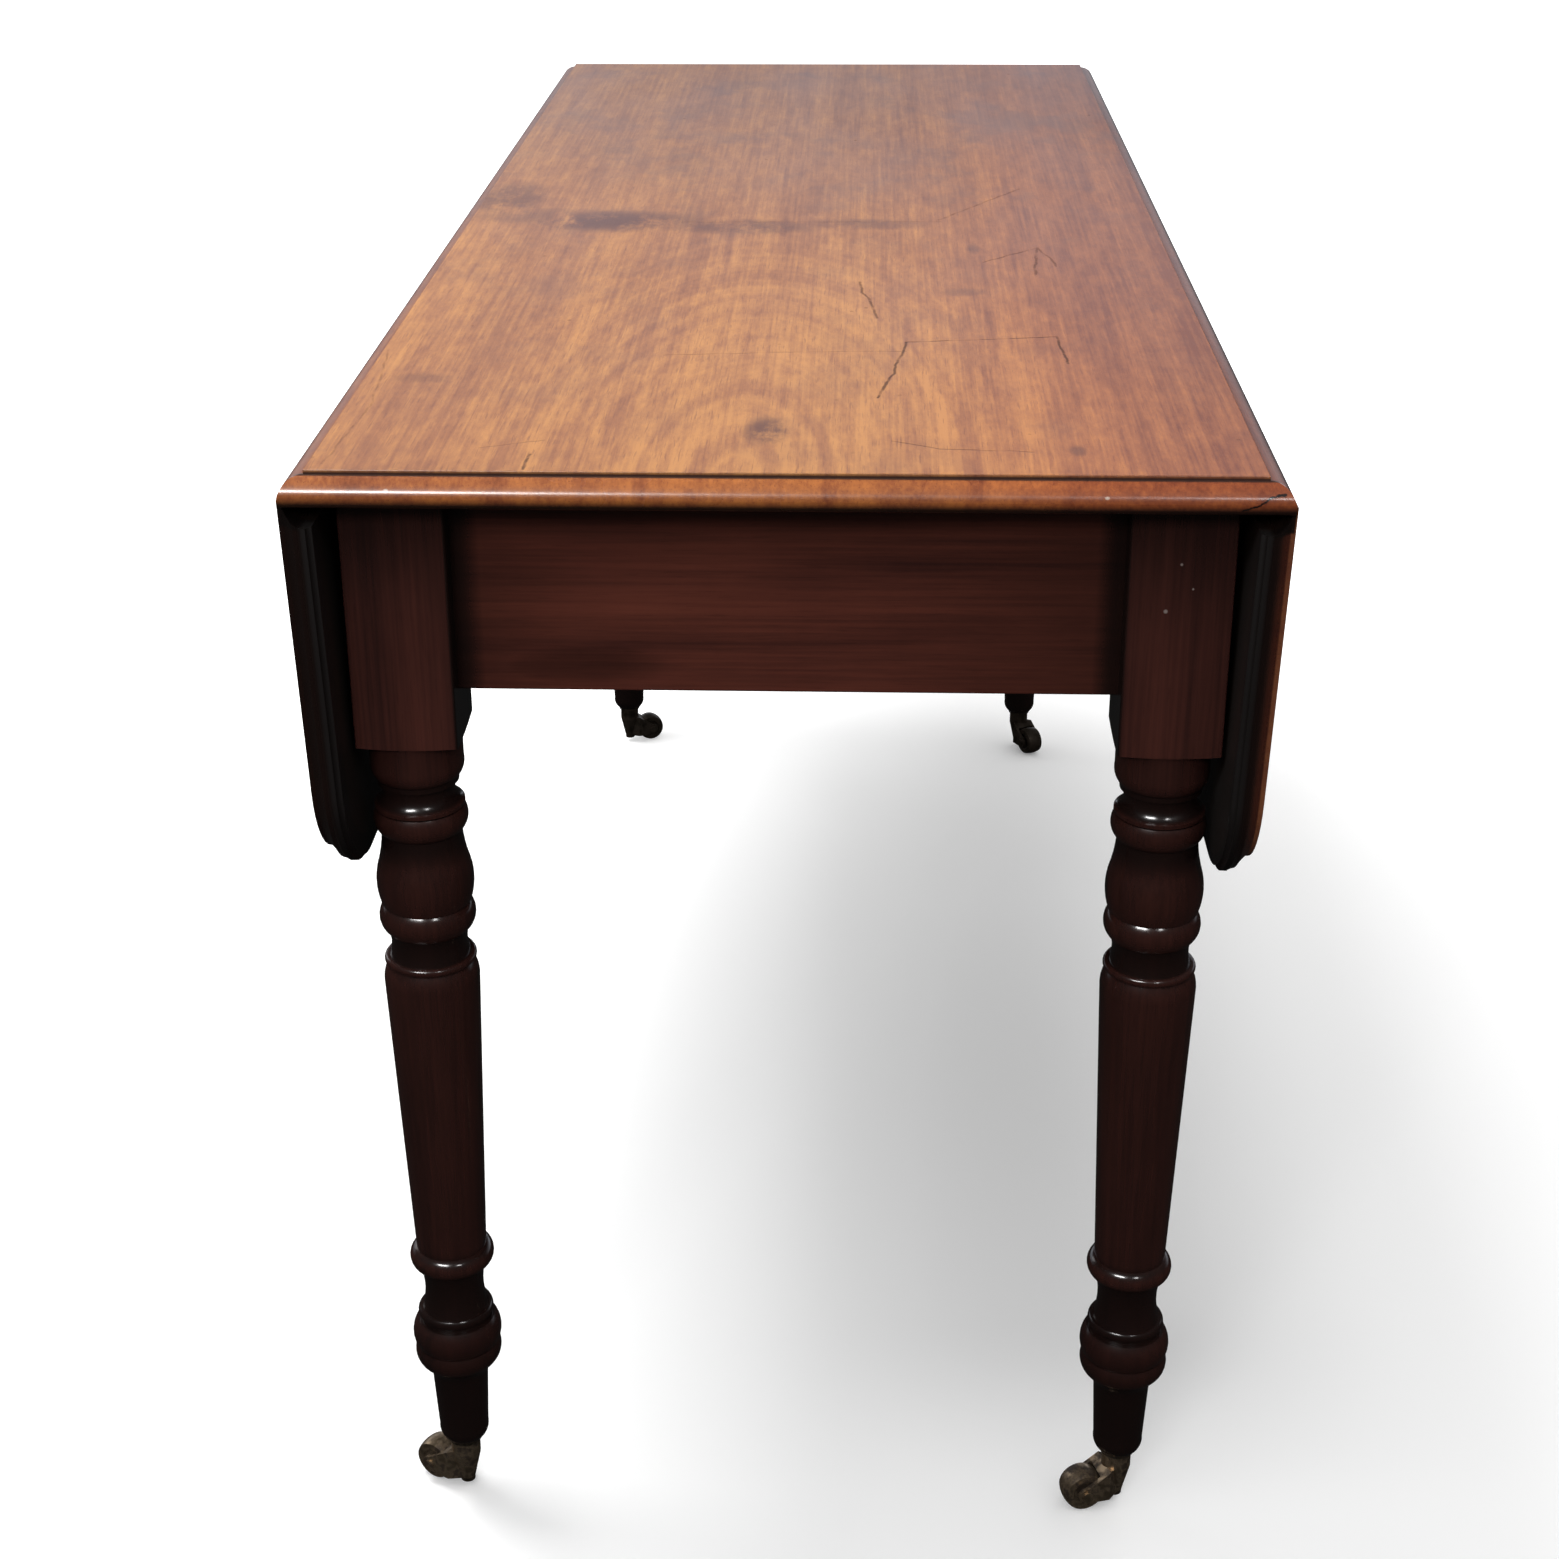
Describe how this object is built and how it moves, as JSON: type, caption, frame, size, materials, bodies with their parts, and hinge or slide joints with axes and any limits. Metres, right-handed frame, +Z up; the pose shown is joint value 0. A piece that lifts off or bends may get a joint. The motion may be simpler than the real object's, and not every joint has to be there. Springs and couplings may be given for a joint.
{
  "type": "drop-leaf pembroke table",
  "caption": "Long pembroke table with hanging rule-jointed leaves, moulded edges, turned tapering legs with square blocks, brass casters and an end drawer.",
  "frame": {"origin": "on the floor under the middle of the table", "axes": "+X to the right leaf as seen in the picture, +Y along the length away from the near end, +Z up"},
  "size_m": [0.537, 1.34, 0.72],
  "materials": {
    "top_mahogany": "worn french polish, warm orange brown",
    "dark_mahogany": "dark glossy french polish",
    "frame_wood": "unpolished secondary wood, aged",
    "iron": "dark oxidised iron",
    "caster_brass": "dark patinated brass"
  },
  "bodies": {
    "frame": {"bracket_pins": "iron", "caster_pegs": "caster_brass", "drawer_kickers": "frame_wood", "drawer_stops": "frame_wood", "front_rail": "dark_mahogany", "glue_blocks": "frame_wood", "left_drawer_runner": "frame_wood", "left_fly_rail": "frame_wood", "left_frame_hinges": "iron", "left_frame_screws": "iron", "left_front_leg": "dark_mahogany", "left_hinge_pins": "iron", "left_rear_leg": "dark_mahogany", "left_side_rail": "frame_wood", "rear_lower_rail": "dark_mahogany", "rear_upper_rail": "dark_mahogany", "right_drawer_runner": "frame_wood", "right_fly_rail": "frame_wood", "right_frame_hinges": "iron", "right_frame_screws": "iron", "right_front_leg": "dark_mahogany", "right_hinge_pins": "iron", "right_rear_leg": "dark_mahogany", "right_side_rail": "frame_wood", "top_board": "top_mahogany", "top_screws": "iron"},
    "left_leaf": {"left_leaf": "top_mahogany", "left_leaf_hinges": "iron", "left_leaf_screws": "iron"},
    "right_leaf": {"right_leaf": "top_mahogany", "right_leaf_hinges": "iron", "right_leaf_screws": "iron"},
    "drawer": {"drawer_back": "frame_wood", "drawer_bottom": "frame_wood", "drawer_front": "dark_mahogany", "drawer_knobs": "dark_mahogany", "drawer_left_side": "frame_wood", "drawer_right_side": "frame_wood"},
    "left_front_bracket": {"left_front_bracket": "frame_wood"},
    "left_rear_bracket": {"left_rear_bracket": "frame_wood"},
    "right_front_bracket": {"right_front_bracket": "frame_wood"},
    "right_rear_bracket": {"right_rear_bracket": "frame_wood"},
    "front_left_caster": {"front_left_horn": "caster_brass", "front_left_axle": "caster_brass"},
    "front_left_wheel": {"front_left_wheel": "caster_brass"},
    "front_right_caster": {"front_right_horn": "caster_brass", "front_right_axle": "caster_brass"},
    "front_right_wheel": {"front_right_wheel": "caster_brass"},
    "rear_left_caster": {"rear_left_horn": "caster_brass", "rear_left_axle": "caster_brass"},
    "rear_left_wheel": {"rear_left_wheel": "caster_brass"},
    "rear_right_caster": {"rear_right_horn": "caster_brass", "rear_right_axle": "caster_brass"},
    "rear_right_wheel": {"rear_right_wheel": "caster_brass"}
  },
  "joints": [
    {"name": "left_leaf_lift", "type": "hinge", "parent": "frame", "child": "left_leaf", "pos_m": [-0.2525, 0, 0.704], "axis": [0, 1, 0], "range_deg": [0, 91.6]},
    {"name": "right_leaf_lift", "type": "hinge", "parent": "frame", "child": "right_leaf", "pos_m": [0.2525, 0, 0.704], "axis": [0, -1, 0], "range_deg": [0, 91.6]},
    {"name": "drawer_slide", "type": "slide", "parent": "frame", "child": "drawer", "axis": [0, 1, 0], "range_m": [0, 0.28]},
    {"name": "left_front_bracket_swing", "type": "hinge", "parent": "frame", "child": "left_front_bracket", "pos_m": [-0.22602, -0.25, 0.651], "axis": [0, 0, -1], "range_deg": [0, 3]},
    {"name": "left_rear_bracket_swing", "type": "hinge", "parent": "frame", "child": "left_rear_bracket", "pos_m": [-0.22602, 0.25, 0.651], "axis": [0, 0, 1], "range_deg": [0, 3]},
    {"name": "right_front_bracket_swing", "type": "hinge", "parent": "frame", "child": "right_front_bracket", "pos_m": [0.22602, -0.25, 0.651], "axis": [0, 0, 1], "range_deg": [0, 3]},
    {"name": "right_rear_bracket_swing", "type": "hinge", "parent": "frame", "child": "right_rear_bracket", "pos_m": [0.22602, 0.25, 0.651], "axis": [0, 0, -1], "range_deg": [0, 3]},
    {"name": "front_left_caster_swivel", "type": "hinge", "parent": "frame", "child": "front_left_caster", "pos_m": [-0.21352, -0.607, 0.0396], "axis": [0, 0, 1], "continuous": true},
    {"name": "front_left_wheel_roll", "type": "hinge", "parent": "front_left_caster", "child": "front_left_wheel", "pos_m": [-0.23344, -0.5955, 0.014], "axis": [-0.5, -0.866, 0], "continuous": true},
    {"name": "front_right_caster_swivel", "type": "hinge", "parent": "frame", "child": "front_right_caster", "pos_m": [0.21352, -0.607, 0.0396], "axis": [0, 0, 1], "continuous": true},
    {"name": "front_right_wheel_roll", "type": "hinge", "parent": "front_right_caster", "child": "front_right_wheel", "pos_m": [0.19153, -0.61372, 0.014], "axis": [0.2924, -0.9563, 0], "continuous": true},
    {"name": "rear_left_caster_swivel", "type": "hinge", "parent": "frame", "child": "rear_left_caster", "pos_m": [-0.21352, 0.607, 0.0396], "axis": [0, 0, 1], "continuous": true},
    {"name": "rear_left_wheel_roll", "type": "hinge", "parent": "rear_left_caster", "child": "rear_left_wheel", "pos_m": [-0.19268, 0.61672, 0.014], "axis": [-0.4226, 0.9063, 0], "continuous": true},
    {"name": "rear_right_caster_swivel", "type": "hinge", "parent": "frame", "child": "rear_right_caster", "pos_m": [0.21352, 0.607, 0.0396], "axis": [0, 0, 1], "continuous": true},
    {"name": "rear_right_wheel_roll", "type": "hinge", "parent": "rear_right_caster", "child": "rear_right_wheel", "pos_m": [0.22502, 0.58708, 0.014], "axis": [0.866, 0.5, 0], "continuous": true}
  ]
}
